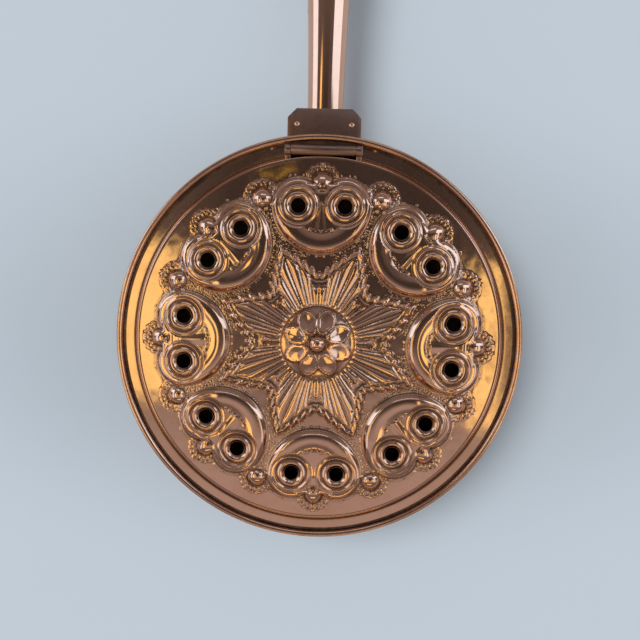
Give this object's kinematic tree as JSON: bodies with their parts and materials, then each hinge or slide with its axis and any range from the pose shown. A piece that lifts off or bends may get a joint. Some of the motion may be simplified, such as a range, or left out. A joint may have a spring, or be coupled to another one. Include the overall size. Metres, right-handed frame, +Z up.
{
  "type": "bed warming pan",
  "caption": "Copper bed warming pan: round bowl with rolled rim, hinged lid pierced with vents and embossed, riveted bracket, flared ferrule, turned wooden handle and hanging ring.",
  "frame": {"origin": "centre of the pan's flat base, on the surface it rests on", "axes": "+Z up through the lid, +Y along the handle from the pan to the hanging ring, +X to the right when the handle points away"},
  "size_m": [0.28, 1.0874, 0.0763],
  "materials": {
    "copper": "polished copper",
    "satin_copper": "satin copper",
    "steel": "dull steel",
    "wood": "stained and waxed hardwood"
  },
  "bodies": {
    "pan": {"pan_bowl": "copper", "rim_wire": "steel", "hinge_plate": "satin_copper", "plate_rivets": "copper", "handle_bracket": "steel", "wall_rivets": "copper", "wall_roves": "copper", "handle_tang": "steel", "tang_washer": "steel", "ferrule": "copper", "handle_shaft": "wood", "tang_cross_pin": "steel", "ferrule_nails": "copper", "end_cap": "copper", "cap_nails": "copper", "hanging_eye": "copper"},
    "lid": {"lid_shell": "copper", "lid_hinge_leaf": "satin_copper", "hinge_pin": "steel"},
    "ring": {"hanging_ring": "copper"}
  },
  "joints": [
    {"name": "lid_hinge", "type": "hinge", "parent": "pan", "child": "lid", "pos_m": [0, 0.1289, 0.0596], "axis": [-1, 0, 0], "range_deg": [0, 150]},
    {"name": "ring_swing", "type": "hinge", "parent": "pan", "child": "ring", "pos_m": [0, 0.94, 0.04185], "axis": [1, 0, 0], "range_deg": [-48, 228]}
  ]
}
